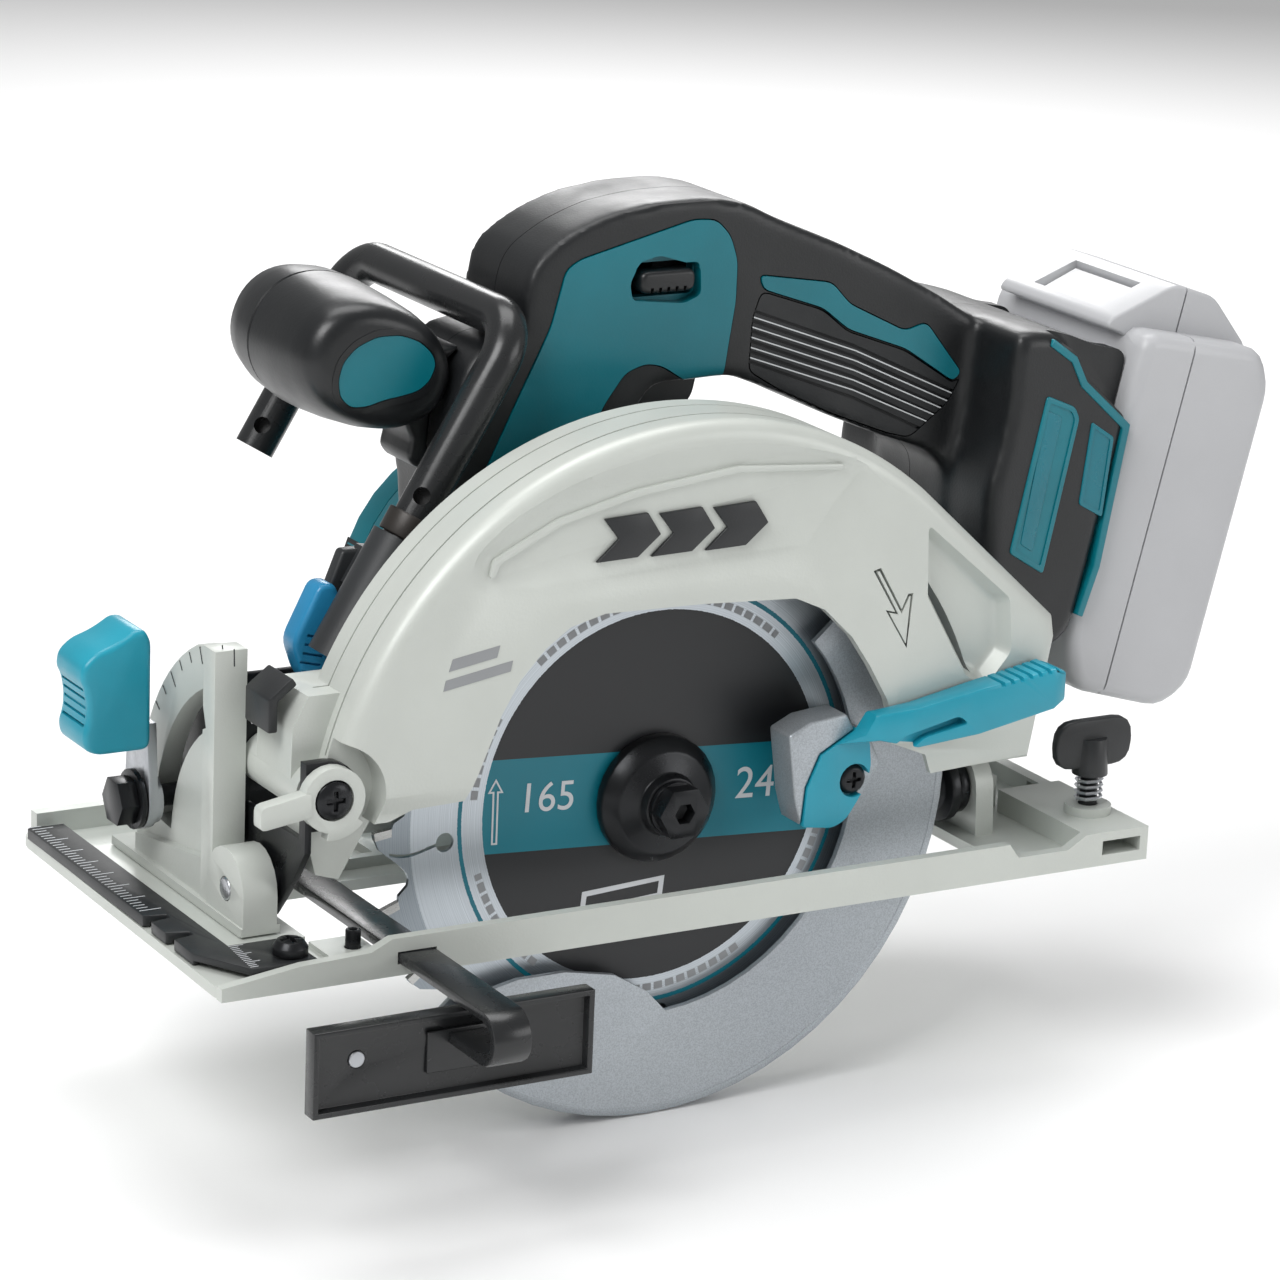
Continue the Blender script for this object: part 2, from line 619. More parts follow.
def make_upper_guard():
    near, far = UPPER_Y
    foot, crown, rear = guard_outline(0.0)
    face_foot, face_crown, face_rear = guard_outline(3.5)
    shell = foot + crown + rear + guard_window()
    face = face_foot + face_crown + face_rear + guard_window()
    body = loft([[(x, y, z) for x, z in outline]
                 for y, outline in ((near, face), (near + 4.5, shell), (RIM_Y, shell))])
    back = disc(ARBOR, UPPER_CAVITY_R - 1.0, RIM_Y - 4.0, far, 44)
    cut(back, box((-120, 120), (-40, 40), (-80, 24.0)))
    join(body, back)
    x, z = DEPTH_PIVOT
    chamfer = [(-40.0, 0.0), (-21.0, 0.0), (-21.0, 38.5), (-22.4, 43.5), (-40.0, 43.5)]
    cut(body, prism(chamfer, -130, 130, "X"))
    cut(body, box((-120.0, -62.0), (-30.0, -14.0), (0.0, 36.5)))
    lug = disc(DEPTH_PIVOT, 7.0, -14.2, 17.7, 24)
    neck = prism([(x, z - 8), (x + 14, z - 12), (x + 16, z + 24), (x - 2, z + 24), (x - 7.6, z + 16),
                  (x - 8, z)], -10.0, 10.0)
    join(body, lug, neck)
    cut(body, disc(DEPTH_PIVOT, 4.3, -30, 30, 20), disc(ARBOR, BOSS_R + 4, 0, 20, 32),
        disc(DEPTH_PIVOT, 14.2, -30.0, -14.3, 24), disc(DEPTH_PIVOT, 14.2, 17.8, 30.0, 24),
        disc(ARBOR, UPPER_CAVITY_R, near + 3.0, RIM_Y - 2.4, 44),
        disc(ARBOR, UPPER_CAVITY_R - 3.0, near + 4.0, far - 2.4, 44))
    pocket = [(68.0, 98.0), (92.0, 74.0), (91.0, 60.0), (86.0, 52.0), (82.0, 57.0), (69.0, 79.0)]
    cut(body, prism(pocket, near - 5, near + 5))
    return place("upper_guard", body, CAST_GREY, DEPTH_SPOT)


def make_bumper():
    x, z = DEPTH_PIVOT
    shape = [(x - 11.0, z + 14), (x - 8.3, z + 14), (x - 8.3, z + 22), (x - 3.0, z + 26),
             (x - 4.5, z + 28.0), (x - 11.0, z + 23)]
    return place("rubber_bumper", prism(shape, -6.0, 8.0), BLACK_RUBBER, DEPTH_SPOT)


def make_lower_guard():
    near, far = LOWER_Y
    plate = arc(ARBOR, LOWER_R - 1.0, LOWER_FROM + 0.5, LOWER_TO - 0.5, 30)
    plate += arc(ARBOR, LOWER_BAND_R, LOWER_TO - 0.5, -87.0, 20)
    plate += [(-3.0, -26.5), (-13.0, -20.5), (-28.0, -17.5), (-42.0, -17.5), (-52.0, -19.5)]
    band = prism(plate, near + 0.2, near + 2.0)
    rim = prism(sector(ARBOR, LOWER_R - 2.0, LOWER_R, LOWER_FROM, LOWER_TO, 30), near, far)
    back = prism(sector(ARBOR, BOSS_R + 6, LOWER_R - 1.0, LOWER_FROM + 0.5, LOWER_TO - 0.5, 30),
                 far - 1.8, far - 0.2)
    hub = ring(ARBOR, BOSS_R + GAP, BOSS_R + 9, far - 2.0, far, 30)
    join(band, rim)
    join(band, back)
    join(band, hub)
    return place("lower_guard", band, GUARD_ALLOY, ARBOR_SPOT)


LEVER_SCREW = (50.0, 30.0)


def make_lever_bracket():
    """Stands on the lower guard's band, inside the window of the upper guard."""
    outline = [(57.5, 23.0), (63.0, 31.0), (58.0, 41.0), (48.0, 44.0), (33.0, 38.0), (33.0, 30.0),
               (44.0, 24.0)]
    bracket = prism(rounded(outline, 2.0), -13.7, -7.3)
    cut(bracket, disc(LEVER_SCREW, 2.3, -20, 0, 16))
    return place("guard_lever_bracket", soften(bracket, 0.8), GUARD_ALLOY, ARBOR_SPOT)


def make_guard_lever():
    hub = [(29.0, 37.0), (33.5, 19.0), (44.0, 17.5), (48.0, 19.5), (53.0, 27.0), (55.0, 33.0),
           (54.0, 41.5), (46.0, 47.5), (36.0, 43.5)]
    low = prism(rounded(hub, 2.0), -21.0, -14.0)
    rings = []
    for x, y0, y1, low_z, back_z, top in (
            (43.0, -20.9, -14.1, 40.5, 40.5, 46.0), (53.0, -28.0, -22.9, 42.5, 42.5, 50.0),
            (64.0, -29.5, -22.9, 39.5, 42.5, 51.0), (82.0, -31.0, -22.9, 41.5, 43.0, 54.5),
            (104.0, -34.0, -22.9, 47.0, 47.0, 58.5), (108.0, -33.0, -24.0, 49.0, 49.0, 57.0)):
        rings.append([(x, y0, low_z), (x, y1, back_z), (x, y1, top), (x, y0, top)])
    tip = soften(loft(rings), 1.0)
    join(low, tip)
    cut(low, disc(LEVER_SCREW, 2.3, -40, 0, 16), disc(LEVER_SCREW, 4.7, -40, -18.4, 20))
    return place("guard_lever", low, BRIGHT_TEAL, ARBOR_SPOT)


def make_lever_screw():
    profile = [(0, -20.9), (3.2, -20.6), (4.2, -19.6), (4.2, -18.7), (2.0, -18.7), (2.0, -8.0),
               (0, -8.0)]
    screw = turning(profile, LEVER_SCREW, 16)
    for bar in (rectangle((-2.2, -0.5), (2.2, 0.5)), rectangle((-0.5, -2.2), (0.5, 2.2))):
        moved = [(LEVER_SCREW[0] + a, LEVER_SCREW[1] + b) for a, b in bar]
        cut(screw, prism(moved, -22.0, -19.3))
    return place("guard_lever_screw", screw, STEEL, ARBOR_SPOT)


# ---------------------------------------------------------------- blade set

def make_blade():
    points = []
    pitch = 360.0 / BLADE_TEETH
    for i in range(BLADE_TEETH):
        a = i * pitch
        for radius, offset in ((BLADE_R, 0.0), (BLADE_R - 1.2, 3.0), (74.6, 8.0), (73.2, 10.0),
                               (73.6, 12.0), (75.6, 13.6)):
            points.append((ARBOR[0] + radius * cos(radians(a + offset)),
                           ARBOR[1] + radius * sin(radians(a + offset))))
    blade = prism(points, -BLADE_HALF, BLADE_HALF)
    cut(blade, disc(ARBOR, 7.95, -5, 5, 32))
    slots = []
    for i in range(4):
        a = radians(i * 90.0 + 184.5)
        centre = (ARBOR[0] + 62.0 * cos(a), ARBOR[1] + 62.0 * sin(a))
        slots.append(disc(centre, 2.6, -5, 5, 12))
        line = turned(rectangle((62.0, -0.5), (78.0, 0.5)), a)
        slots.append(prism([(ARBOR[0] + u, ARBOR[1] + v) for u, v in line], -5, 5))
    for slot in slots:
        cut(blade, slot)
    return place("saw_blade", blade, STEEL, ARBOR_SPOT)


def make_outer_flange():
    low = -BLADE_HALF - GAP
    profile = [(BOLT_R + GAP, low), (FLANGE_R, low), (FLANGE_R, low - 3.0), (14.0, low - 6.5),
               (8.5, low - 7.5), (8.0, low - 10.5), (BOLT_R + GAP, low - 10.5)]
    return place("outer_flange", turning(profile, ARBOR, 28, closed=True), BLACK_STEEL, ARBOR_SPOT)


def make_inner_flange():
    low = BLADE_HALF + GAP
    profile = [(SPINDLE_R + GAP, -0.4), (7.6, -0.4), (7.6, low), (16.0, low), (16.0, low + 3.4),
               (SPINDLE_R + GAP, low + 3.4)]
    return place("inner_flange", turning(profile, ARBOR, 28, closed=True), BLACK_STEEL, ARBOR_SPOT)


def make_blade_bolt():
    seat = -BLADE_HALF - 2 * GAP - 10.5
    head = prism(circle(ARBOR, 7.5, 6), seat - 6.0, seat)
    washer = disc(ARBOR, 7.4, seat - 1.4, seat, 24)
    shank = disc(ARBOR, BOLT_R, seat - 1.0, 18.0, 20)
    join(head, washer, shank)
    cut(head, disc(ARBOR, 3.0, seat - 10, seat - 2.0, 6))
    return place("blade_bolt", head, BLACK_STEEL, ARBOR_SPOT)


def make_spindle():
    profile = [(0.0, 34.8), (SPINDLE_R, 34.8), (SPINDLE_R, -0.3), (BOLT_R + GAP, -0.3),
               (BOLT_R + GAP, 20.0), (0.0, 20.0)]
    return place("spindle", turning(profile, ARBOR, 20), STEEL, ARBOR_SPOT)


def gear_outline(teeth, centre, phase):
    """Straight-flanked teeth with backlash, phase in degrees."""
    pitch_r = GEAR_MODULE * teeth / 2
    points = []
    step = 360.0 / teeth
    root, tip = pitch_r - 1.2, pitch_r + 0.85
    root_half, tip_half = 0.27 * step, 0.12 * step
    for i in range(teeth):
        a = phase + i * step
        for radius, offset in ((root, -root_half), (tip, -tip_half), (tip, tip_half), (root, root_half)):
            points.append((centre[0] + radius * cos(radians(a + offset)),
                           centre[1] + radius * sin(radians(a + offset))))
    return points


def make_spindle_gear():
    toward = degrees(atan2(MOTOR[1] - ARBOR[1], MOTOR[0] - ARBOR[0]))
    gear = prism(gear_outline(GEAR_TEETH, ARBOR, toward), 18.0, 25.5)
    cut(gear, disc(ARBOR, SPINDLE_R + GAP, 10, 40, 32))
    return place("spindle_gear", gear, STEEL, ARBOR_SPOT)


def make_rotor_shaft():
    toward = degrees(atan2(ARBOR[1] - MOTOR[1], ARBOR[0] - MOTOR[0]))
    pinion = prism(gear_outline(PINION_TEETH, MOTOR, toward + 180.0 / PINION_TEETH), 17.6, 26.0)
    shaft = disc(MOTOR, 3.0, 13.2, 102.0, 20)
    join(pinion, shaft)
    return place("rotor_shaft", pinion, STEEL, MOTOR_SPOT)


def make_rotor_magnet():
    return place("rotor_magnet", ring(MOTOR, 3.3, 12.0, 45.0, 73.0, 20), STEEL, MOTOR_SPOT)


def make_fan():
    fan = turning([(3.3, 76.5), (8.0, 76.5), (8.0, 79.5), (30.0, 79.5), (30.0, 81.0), (3.3, 81.0)],
                  MOTOR, 24, closed=True)
    vanes = []
    for i in range(10):
        blade = turned(rectangle((10.0, -0.8), (29.0, 0.8)), tau * i / 10)
        vanes.append(prism([(MOTOR[0] + u, MOTOR[1] + v) for u, v in blade], 80.5, 89.0))
    for vane in vanes:
        join(fan, vane)
    return place("cooling_fan", fan, BLACK_PLASTIC, MOTOR_SPOT)


def bearing(name, centre, inner, outer, low, high):
    return place(name, ring(centre, inner + GAP, outer, low, high, 20), STEEL,
                 (centre[0], (low + high) / 2, centre[1]))


# ---------------------------------------------------------------- gearbox and motor

def hull(first, r1, second, r2, steps=9):
    """Outline of two circles joined by their outer tangents."""
    dx, dz = second[0] - first[0], second[1] - first[1]
    base = degrees(atan2(dz, dx))
    spread = degrees(acos((r1 - r2) / hypot(dx, dz)))
    return (arc(first, r1, base + spread, base + 360 - spread, 2 * steps)
            + arc(second, r2, base - spread, base + spread, steps))


def bolt_spot():
    """Where the depth lock's bolt crosses the guide, at full depth."""
    angle = asin((GUIDE_BOLT_Z - DEPTH_PIVOT[1]) / GUIDE_R)
    return (DEPTH_PIVOT[0] + GUIDE_R * cos(angle), GUIDE_BOLT_Z)


def make_gear_housing():
    """Cast case round the gear pair, with the boss that the lower guard turns on."""
    body = prism(hull(ARBOR, 25.5, MOTOR, 14.5), 9.3, 28.7)
    back = prism(hull(ARBOR, 16.4, MOTOR, 14.5), 28.0, 37.9)
    shape = [(2.0, 13.0), (62.0, 8.6), (70.4, 8.6), (70.4, 19.5), (48.0, 30.0), (16.0, 44.0)]
    lug = prism(shape, 32.0, 37.9)
    boss = disc(ARBOR, BOSS_R, 2.6, 9.8, 30)
    lock_case = prism(circle((21.7, 26.83), 6.0, 20), -30.5, -20.0, "X")
    join(body, back, lug, boss, lock_case)
    cut(body, prism(hull(ARBOR, 23.5, MOTOR, 9.0), 17.0, 26.5),
        disc(ARBOR, 16.4, 0.0, 6.0, 28),
        disc(ARBOR, SPINDLE_R + 1.5, 0.0, 34.0, 20), disc(ARBOR, 13.4, 11.7, 18.0, 24),
        disc(ARBOR, 11.4, 26.0, 35.2, 24), disc(MOTOR, 3.6, 12.8, 18.0, 18),
        disc(MOTOR, 8.4, 26.0, 35.2, 20), disc(MOTOR, 5.0, 30.0, 40.0, 18),
        disc(bolt_spot(), 3.3, 25, 45, 20),
        prism(circle((21.7, 26.83), 2.4, 16), -40.0, -20.0, "X"))
    return place("gear_housing", body, CAST_GREY, DEPTH_SPOT)


LOCK_SPOT = (-34.0, 21.7, 26.83)


def make_spindle_lock():
    """Pressed inward, its edge drops between two teeth of the spindle gear."""
    button = prism(circle(LOCK_SPOT[1:], 6.5, 24), -39.0, -33.5, "X")
    stem = prism(circle(LOCK_SPOT[1:], 2.1, 16), -34.0, -25.6, "X")
    edge = box((-26.0, -23.6), (20.2, 23.2), (26.5, 27.16))
    join(soften(button, 1.0), stem, edge)
    return place("spindle_lock_button", button, BLACK_PLASTIC, LOCK_SPOT)


def make_motor_housing():
    near, far = MOTOR_Y
    profile = [(9.5, near), (HOUSING_R - 3.0, near), (HOUSING_R, near + 3.0), (HOUSING_R, far),
               (HOUSING_R - 2.5, far), (HOUSING_R - 2.5, near + 2.6), (9.5, near + 2.6)]
    shell = turning(profile, HOUSING, 36, closed=True)
    inner = ring(MOTOR, 27.4, 29.6, 44.0, 75.0, 24)
    webs = []
    for angle in (20.0, 110.0, 200.0, 290.0):
        web = turned(rectangle((28.5, -1.2), (45.0, 1.2)), radians(angle))
        outline = [(MOTOR[0] + a, MOTOR[1] + b) for a, b in web]
        webs.append(keep(prism(outline, 44.0, 75.0), disc(HOUSING, HOUSING_R - 1.0, 40, 80, 32)))
    join(shell, inner, *webs)
    vents = []
    for i in range(6):
        angle = radians(-60.0 + i * 16.0)
        slot = turned(rectangle((38.0, -1.7), (50.0, 1.7)), angle)
        vents.append(prism([(HOUSING[0] + a, HOUSING[1] + b) for a, b in slot], 78.0, 91.0))
    cut(shell, *vents)
    return place("motor_housing", shell, TEAL, DEPTH_SPOT)


def make_stator():
    """Laminated ring with its windings as bulged ends."""
    core = ring(MOTOR, 13.0, 27.0, 47.0, 71.0, 28)
    ends = [ring(MOTOR, 15.0, 25.0, a, b, 20) for a, b in ((43.5, 47.5), (70.5, 75.0))]
    join(core, *ends)
    return place("stator", core, COPPER, MOTOR_SPOT)


def make_end_cap():
    near, far = END_CAP_Y
    profile = [(0.0, far - 2.6), (36.0, far - 2.6), (41.9, far - 6.0), (41.9, near), (HOUSING_R, near),
               (HOUSING_R, far - 5.0), (HOUSING_R - 5.0, far), (0.0, far)]
    cap = turning(profile, HOUSING, 36)
    collar = ring(MOTOR, 8.3, 11.0, 93.0, far - 1.0, 18)
    join(cap, collar)
    slots = [box((-24.0, 30.0), (102.0, 120.0), (z, z + 4.4)) for z in (29.0, 37.0, 71.0, 79.0)]
    cut(cap, *slots)
    return place("motor_end_cap", cap, BLACK_PLASTIC, DEPTH_SPOT)


# ---------------------------------------------------------------- handle

def leaned(points):
    """Points given from the battery's face: across it to the rear, and up along it."""
    c, s = cos(LEAN), sin(LEAN)
    return [(FACE[0] + a * c + b * s, FACE[1] - a * s + b * c) for a, b in points]


HANDLE = [(-39.5, 79.0), (-45.5, 92.0), (-46.5, 106.0), (-48.5, 116.0), (-47.5, 128.0), (-43.5, 140.0),
          (-38.0, 144.5), (-30.0, 145.5), (-27.3, 149.0), (-27.0, 159.0), (-24.0, 166.0), (-14.0, 172.5),
          (-2.0, 177.0), (12.0, 179.0), (27.0, 179.3), (38.0, 177.5), (48.0, 172.5), (69.0, 164.0),
          (85.0, 156.5), (102.0, 147.5), (114.0, 140.0), (126.0, 137.8), (136.0, 134.6), (146.0, 130.4),
          (149.0, 129.0)]
HANDLE_END = [(133.0, 58.0), (130.5, 54.0), (122.0, 51.6), (104.0, 50.4), (90.0, 52.5), (60.0, 52.5)]
OPENING = [(12.0, 130.0), (5.0, 120.0), (1.5, 110.5), (13.0, 106.5), (26.0, 102.0), (38.0, 94.5),
           (46.0, 85.5), (51.0, 76.0), (56.0, 71.5), (99.0, 71.5), (105.0, 77.0), (106.5, 90.0),
           (106.0, 99.0), (101.0, 104.0), (85.0, 109.5), (68.0, 116.5), (51.0, 124.5), (36.0, 130.5)]
MOUNT = [(113.0, 141.4), (126.0, 139.5), (137.0, 136.5), (146.0, 132.5), (155.6, 131.6), (137.6, 56.0),
         (133.5, 51.0), (124.0, 48.8), (112.0, 52.0), (107.0, 60.0), (106.8, 98.0), (110.0, 108.0),
         (112.0, 120.0)]
HANDLE_FOOT = [(40.0, 60.0), (-20.0, 62.0)]     # hidden in the motor housing's saddle


def inset(points, amount):
    """The outline moved inward, for a counter-clockwise or clockwise loop."""
    count = len(points)
    area = sum(points[i - 1][0] * points[i][1] - points[i][0] * points[i - 1][1] for i in range(count))
    sign = 1.0 if area > 0 else -1.0
    result = []
    for i in range(count):
        here = Vector(points[i])
        before = (here - Vector(points[i - 1])).normalized()
        after = (Vector(points[(i + 1) % count]) - here).normalized()
        normal = Vector((-before.y - after.y, before.x + after.x))
        if normal.length < 1e-6:
            normal = Vector((-after.y, after.x))
        normal.normalize()
        lean = max(0.55, normal.dot(Vector((-after.y, after.x))))
        spot = here + normal * (sign * amount / lean)
        result.append((spot.x, spot.y))
    return result


BUTTON_SPOT = (14.5, 158.0)


def handle_half(side):
    """One half of the handle: a skin round a hollow that is open at the parting."""
    outline = HANDLE + HANDLE_END + HANDLE_FOOT
    face = HANDLE_Y + side * GRIP_HALF
    wide = HANDLE_Y + side * MOUNT_HALF
    parting = HANDLE_Y + side * GAP / 2
    past = HANDLE_Y - side * 12.0
    shell = soften(prism(outline, *sorted((face, past))), 5.0, 2, 60.0)
    join(shell, soften(prism(MOUNT, *sorted((wide, past))), 4.0, 2, 50.0))
    cut(shell, box((-100.0, 200.0), sorted((parting, past - side * 20.0)), (0.0, 220.0)))
    cut(shell, disc(HOUSING, HOUSING_R + 0.4, 0.0, 120.0, 48))
    cut(shell, prism(OPENING, 0.0, 120.0))
    hollow = prism(inset(outline, SHELL), *sorted((face - side * SHELL, past - side * 3.0)))
    cut(hollow, disc(HOUSING, HOUSING_R + 3.0, 0.0, 120.0, 48))
    cut(hollow, prism(inset(OPENING, -SHELL), 0.0, 120.0))
    room = [(115.0, 119.0), (130.0, 119.5), *leaned([(-16.5, 4.0), (-16.5, -55.0)]), (113.0, 59.0),
            (110.0, 65.0), (109.6, 97.0), (113.0, 107.0)]
    join(hollow, prism(room, *sorted((wide - side * SHELL, past - side * 4.0))))
    cut(hollow, prism(leaned([(-16.4, 40.0), (20.0, 40.0), (20.0, -80.0), (-16.4, -80.0)]), -20.0, 120.0))
    pocket = prism(leaned([(-11.6, -58.6), (25.0, -58.6), (25.0, 60.0), (-11.6, 60.0)]), 20.4, 71.6)
    slot = prism([(1.0, 143.0), (1.0, 129.0), (6.5, 114.0), (33.0, 112.0), (35.0, 128.0), (37.5, 143.0)],
                 38.0, 54.0)
    plug = prism(leaned([(-20.0, -40.0), (-8.0, -40.0), (-8.0, -22.0), (-20.0, -22.0)]), 33.7, 58.3)
    cut(shell, hollow)
    cut(shell, pocket)
    cut(shell, slot)
    cut(shell, plug)
    return shell


def make_handle_near():
    half = handle_half(-1.0)
    cut(half, prism(rounded([(5.6, 154.2), (5.6, 161.8), (23.4, 161.8), (23.4, 154.2)], 1.2), 20.0, 32.0))
    return place("handle_near", half, BLACK_RUBBER, DEPTH_SPOT)


def make_handle_far():
    return place("handle_far", handle_half(1.0), BLACK_RUBBER, DEPTH_SPOT)


TRIGGER_SPOT = (8.0, 46.0, 136.0)


def make_trigger():
    outline = [(5.5, 139.0), (4.6, 131.5), (8.6, 124.5), (12.6, 118.3), (19.0, 117.2), (27.5, 118.8),
               (30.6, 123.0), (32.4, 131.0), (32.4, 135.0), (12.0, 139.0)]
    trigger = prism(outline, 38.5, 53.5)
    return place("trigger", soften(trigger, 1.2), BLACK_PLASTIC, TRIGGER_SPOT)


def make_lock_off():
    outline = rounded([(6.0, 154.6), (6.0, 161.4), (23.0, 161.4), (23.0, 154.6)], 1.2)
    button = prism(outline, 26.6, 33.0)
    return place("lock_off_button", soften(button, 0.6), BLACK_PLASTIC, (14.5, 28.0, 158.0))


def make_switch():
    body = box((6.0, 42.0), (36.0, 56.0), (144.5, 153.0))
    stem = box((18.0, 30.0), (42.0, 50.0), (152.0, 166.0))
    return place("switch_body", join(body, stem), BLACK_PLASTIC, DEPTH_SPOT)


def make_terminal_block():
    block = prism(leaned([(-24.0, -39.4), (-11.9, -39.4), (-11.9, -22.6), (-24.0, -22.6)]), 34.2, 57.8)
    slots = [prism(leaned([(-15.0, -50.0), (-10.0, -50.0), (-10.0, -10.0), (-15.0, -10.0)]), y, y + 2.0)
             for y in (39.0, 51.0)]
    cut(block, *slots)
    return place("terminal_block", block, BRIGHT_TEAL, DEPTH_SPOT)


def make_controller():
    board = prism(leaned([(-28.5, -44.0), (-26.9, -44.0), (-26.9, -1.5), (-28.5, -1.5)]), 16.0, 76.0)
    parts = [prism(leaned([(-31.5, b), (-28.0, b), (-28.0, b + 12.0), (-31.5, b + 12.0)]), y, y + 14.0)
             for b, y in ((-38.0, 22.0), (-20.0, 48.0))]
    return place("controller_board", join(board, *parts), BOARD_GREEN, DEPTH_SPOT)


def ellipse_ring(y, x, z, wide, high, steps=24, tilt=-22.0):
    c, s = cos(radians(tilt)), sin(radians(tilt))
    spots = [(wide * cos(tau * i / steps), high * sin(tau * i / steps)) for i in range(steps)]
    return [(x + a * c - b * s, y, z + a * s + b * c) for a, b in spots]


def make_front_grip():
    rings = [ellipse_ring(31.0, -66.4, 139.8, 16.5, 11.0), ellipse_ring(33.0, -66.7, 139.9, 20.4, 14.7),
             ellipse_ring(38.0, -67.0, 139.9, 21.8, 16.4), ellipse_ring(52.0, -67.4, 139.9, 21.6, 18.0),
             ellipse_ring(66.0, -67.4, 140.0, 21.6, 18.4), ellipse_ring(78.0, -67.3, 140.4, 20.8, 17.4),
             ellipse_ring(88.0, -67.5, 140.8, 15.8, 13.2), ellipse_ring(95.5, -67.6, 141.0, 6.0, 5.0)]
    knob = loft(rings)
    shape = [(-62.0, 131.0), (-58.0, 125.5), (-54.8, 119.0), (-56.0, 114.0), (-53.4, 110.8), (-49.0, 111.5),
             (-50.2, 117.0), (-49.4, 128.0), (-48.0, 132.6), (-46.0, 138.0), (-44.6, 140.2), (-41.0, 143.0), (-60.0, 143.0)]
    neck = prism(shape, 37.0, 55.0)
    join(knob, neck)
    return place("front_grip", knob, BLACK_RUBBER, DEPTH_SPOT)


# ---------------------------------------------------------------- hook and lamp

HOOK_SPOT = (HOOK_FOOT[0], HOOK_Y, HOOK_FOOT[1])


def along_hook(distance, y=HOOK_Y):
    spot = Vector((HOOK_FOOT[0], y, HOOK_FOOT[1])) + HOOK_DIRECTION * distance
    return spot


def make_rafter_hook():
    bend = 12.0
    top = 53.0
    path = [along_hook(-26.0), along_hook(top - bend)]
    far = HOOK_Y + HOOK_REACH
    for i in range(1, 6):
        a = radians(90.0 * i / 6)
        path.append(along_hook(top - bend + bend * sin(a), HOOK_Y + bend * (1 - cos(a))))
    path += [along_hook(top, HOOK_Y + bend), along_hook(top, far - bend)]
    for i in range(1, 6):
        a = radians(90.0 * i / 6)
        path.append(along_hook(top - bend + bend * cos(a), far - bend + bend * sin(a)))
    path += [along_hook(top - bend, far), along_hook(-7.0, far)]
    hook = rod(path, HOOK_R, 12)
    holes = [rod([along_hook(d, y) + Vector((-6.0, -8.0, 3.6)), along_hook(d, y) + Vector((6.0, 8.0, -3.6))],
                 1.8, 8) for d, y in ((2.5, HOOK_Y), (-0.5, far))]
    cut(hook, *holes)
    return place("rafter_hook", hook, BLACK_STEEL, HOOK_SPOT)


def hook_ring(low, high, inner, outer, steps=20):
    body = rod([along_hook(low), along_hook(high)], outer, steps)
    cut(body, rod([along_hook(low - 5.0), along_hook(high + 5.0)], inner, steps))
    return body


def make_hook_collar():
    return place("hook_collar", hook_ring(-9.5, -3.0, HOOK_R + GAP, 6.9), BLACK_STEEL, HOOK_SPOT)


def make_hook_sleeve():
    """Socket in which the hook's near leg turns, on a plate against the motor housing."""
    sleeve = rod([along_hook(-45.0), along_hook(-9.8)], 8.0, 20)
    web = prism([(-76.5, 84.0), (-71.0, 93.0), (-64.0, 92.0), (-68.0, 80.0)], 16.0, 36.0)
    plate = prism([(-84.0, 72.0), (-76.0, 92.0), (-62.0, 92.0), (-50.0, 76.0), (-36.0, 72.0), (-33.0, 54.0),
                   (-60.0, 58.0)], 33.6, 38.0)
    join(sleeve, web, soften(plate, 1.0))
    cut(sleeve, rod([along_hook(-38.0), along_hook(0.0)], HOOK_R + GAP, 20),
        rod([along_hook(-50.0), along_hook(-30.0)], 2.5, 12))
    return place("hook_sleeve", sleeve, BLACK_PLASTIC, HOOK_SPOT)


def make_lamp():
    outline = [(-86.5, 86.0), (-94.0, 71.0), (-90.5, 61.0), (-84.0, 57.5), (-77.5, 62.0), (-78.5, 77.0),
               (-82.0, 86.0)]
    lamp = prism(rounded(outline, 2.0), 25.0, 33.2)
    return place("lamp", soften(lamp, 0.8), LENS_BLUE, DEPTH_SPOT)


# ---------------------------------------------------------------- battery and depth lock

BATTERY_SPOT = (FACE[0], HANDLE_Y, FACE[1])


def make_battery():
    case = prism(leaned([(0.5, -62.0), (8.0, -76.5), (40.0, -78.0), (48.0, -70.0), (48.2, 18.0),
                         (42.0, 27.5), (0.5, 26.0)]), HANDLE_Y - 37.5, HANDLE_Y + 37.5)
    soften(case, 4.0, 2, 30.0)
    hump = prism(leaned([(-6.0, 24.0), (-5.0, 27.0), (11.0, 38.0), (14.0, 39.5), (28.0, 38.5), (44.0, 26.0),
                         (40.0, 15.0), (2.0, 15.0), (2.0, 23.0)]), HANDLE_Y - 27.0, HANDLE_Y + 27.0)
    tongue = prism(leaned([(-11.2, -58.2), (3.0, -58.2), (3.0, 18.0), (-11.2, 18.0)]), 20.8, 71.2)
    join(case, soften(hump, 2.5, 2, 30.0), tongue)
    well = prism(leaned([(0.6, 23.6), (13.0, 32.3), (2.0, 50.0), (-10.0, 42.0)]), 30.0, 62.0)
    cut(case, well, prism(leaned([(-30.0, -58.5), (-7.0, -58.5), (-7.0, -15.0), (-30.0, -15.0)]), 33.9, 58.1))
    return place("battery", case, PALE_GREY, BATTERY_SPOT)


def make_battery_button():
    button = prism(leaned([(0.2, 25.2), (11.6, 33.2), (10.2, 35.3), (-1.0, 27.0)]), 30.5, 61.5)
    return place("battery_button", soften(button, 0.5), PALE_GREY,
                 (leaned([(6.0, 30.0)])[0][0], HANDLE_Y, leaned([(6.0, 30.0)])[0][1]))


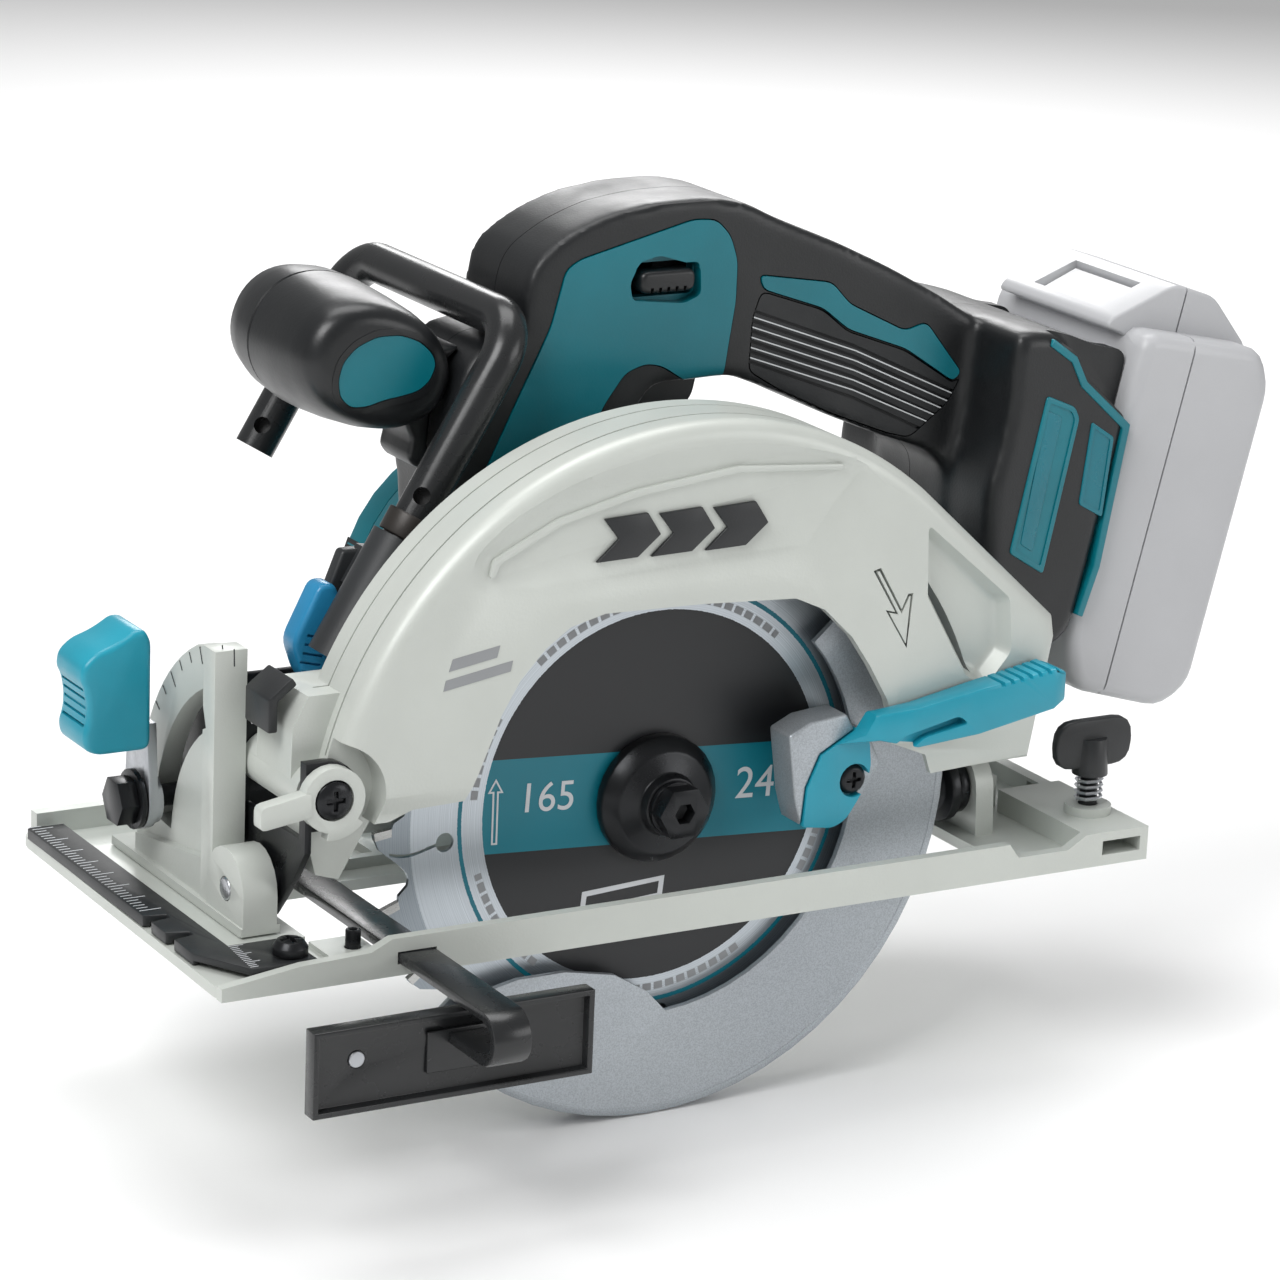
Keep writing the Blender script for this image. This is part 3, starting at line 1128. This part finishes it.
def make_depth_lock_bolt():
    spot = bolt_spot()
    profile = [(0.0, 20.2), (6.0, 20.2), (6.0, 24.3), (3.0, 24.3), (3.0, 46.0), (0.0, 46.0)]
    return place("depth_lock_bolt", turning(profile, spot, 20), STEEL, (spot[0], 38.0, spot[1]))


def make_depth_lock_lever():
    x, z = bolt_spot()
    arm = prism([(x - 3, z + 6), (x + 8, z - 4.5), (x + 34, z + 6), (x + 40, z + 14), (x + 37, z + 20)],
                38.5, 43.5)
    hub = disc((x, z), 7.2, 38.2, 45.0, 28)
    join(hub, soften(arm, 1.2))
    cut(hub, disc((x, z), 3.3, 30, 60, 20))
    return place("depth_lock_lever", hub, BRIGHT_TEAL, (x, 38.0, z))


# ---------------------------------------------------------------- all pieces

def build():
    for obj in list(bpy.data.objects):
        bpy.data.objects.remove(obj)
    make_base_plate()
    make_scale_plate()
    make_scale_screw()
    make_calibration_screw()
    make_quadrant()
    make_front_pivot_pin()
    make_rear_pivot_bolt()
    make_clamp_screw()
    make_clamp_spring()
    make_fence_bar()
    make_fence_plate()
    make_front_bracket()
    make_rear_bracket()
    make_depth_guide()
    make_depth_shaft()
    make_bevel_clamp_bolt()
    make_bevel_arm()
    make_bevel_grip()
    make_stop_lever()
    make_stop_screw()
    make_upper_guard()
    make_bumper()
    make_lower_guard()
    make_lever_bracket()
    make_guard_lever()
    make_lever_screw()
    make_blade()
    make_outer_flange()
    make_inner_flange()
    make_blade_bolt()
    make_spindle()
    make_spindle_gear()
    make_rotor_shaft()
    make_rotor_magnet()
    make_fan()
    bearing("spindle_bearing_near", ARBOR, SPINDLE_R, 13.0, 12.0, 16.8)
    bearing("spindle_bearing_far", ARBOR, SPINDLE_R, 11.0, 28.0, 34.4)
    bearing("rotor_bearing_middle", MOTOR, 3.0, 8.0, 28.0, 34.8)
    bearing("rotor_bearing_far", MOTOR, 3.0, 8.0, 95.0, 101.5)
    make_gear_housing()
    make_spindle_lock()
    make_motor_housing()
    make_stator()
    make_end_cap()
    make_handle_near()
    make_handle_far()
    make_trigger()
    make_lock_off()
    make_switch()
    make_terminal_block()
    make_controller()
    make_front_grip()
    make_rafter_hook()
    make_hook_collar()
    make_hook_sleeve()
    make_lamp()
    make_battery()
    make_battery_button()
    make_depth_lock_bolt()
    make_depth_lock_lever()


build()
